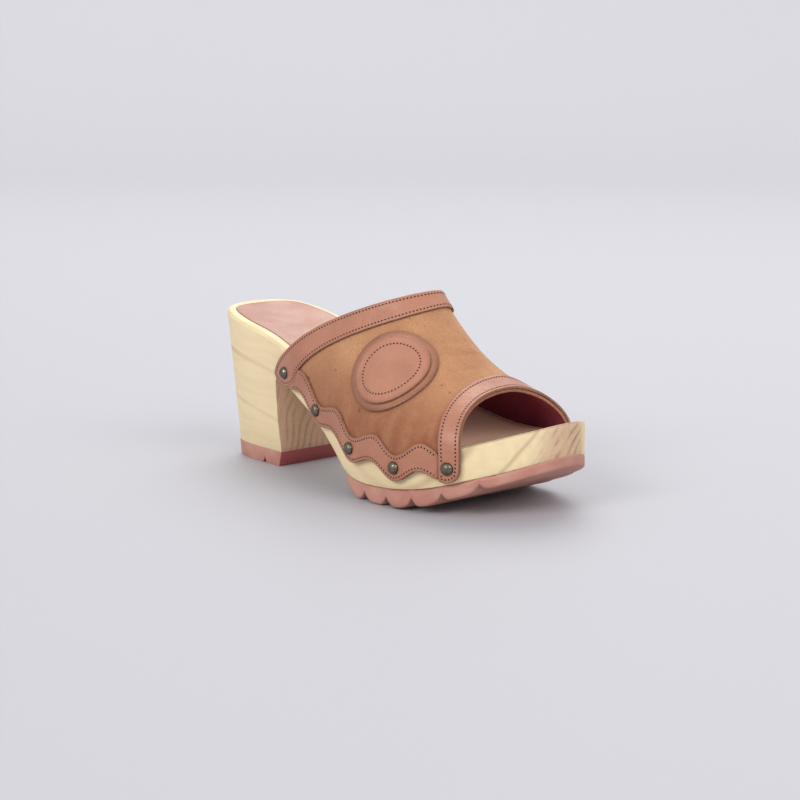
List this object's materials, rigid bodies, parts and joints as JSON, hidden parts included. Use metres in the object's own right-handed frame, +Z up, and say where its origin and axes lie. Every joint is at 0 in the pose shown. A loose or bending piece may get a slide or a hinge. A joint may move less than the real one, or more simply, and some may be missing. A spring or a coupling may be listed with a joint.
{
  "type": "leather mule",
  "caption": "Open-toed suede and leather mule nailed with dome studs to a carved wooden sole with block heel, arched shank and lugged rubber outsole.",
  "frame": {"origin": "on the floor, under the middle of the shoe's box", "axes": "+X from heel to toe, +Z up, -Y to the outer side of the right foot"},
  "size_m": [0.243, 0.103, 0.1036],
  "materials": {
    "sole_wood": "pale, waxed, grain lengthwise",
    "outsole_rubber": "matt moulded",
    "sock_leather": "smooth, soft",
    "upper_suede": "suede nap",
    "band_leather": "smooth, pinholed",
    "stud_metal": "antiqued"
  },
  "bodies": {
    "root": {"wood_sole": "sole_wood", "outsole_heel": "outsole_rubber", "outsole_forefoot": "outsole_rubber", "insole_sock": "sock_leather", "upper": "upper_suede", "collar_band": "band_leather", "toe_band": "band_leather", "rand_lateral": "band_leather", "rand_medial": "band_leather", "patch_backing": "upper_suede", "round_patch": "band_leather", "stud_lateral_1": "stud_metal", "stud_lateral_2": "stud_metal", "stud_lateral_3": "stud_metal", "stud_lateral_4": "stud_metal", "stud_lateral_5": "stud_metal", "stud_medial_1": "stud_metal", "stud_medial_2": "stud_metal", "stud_medial_3": "stud_metal", "stud_medial_4": "stud_metal", "stud_medial_5": "stud_metal"}
  },
  "joints": []
}
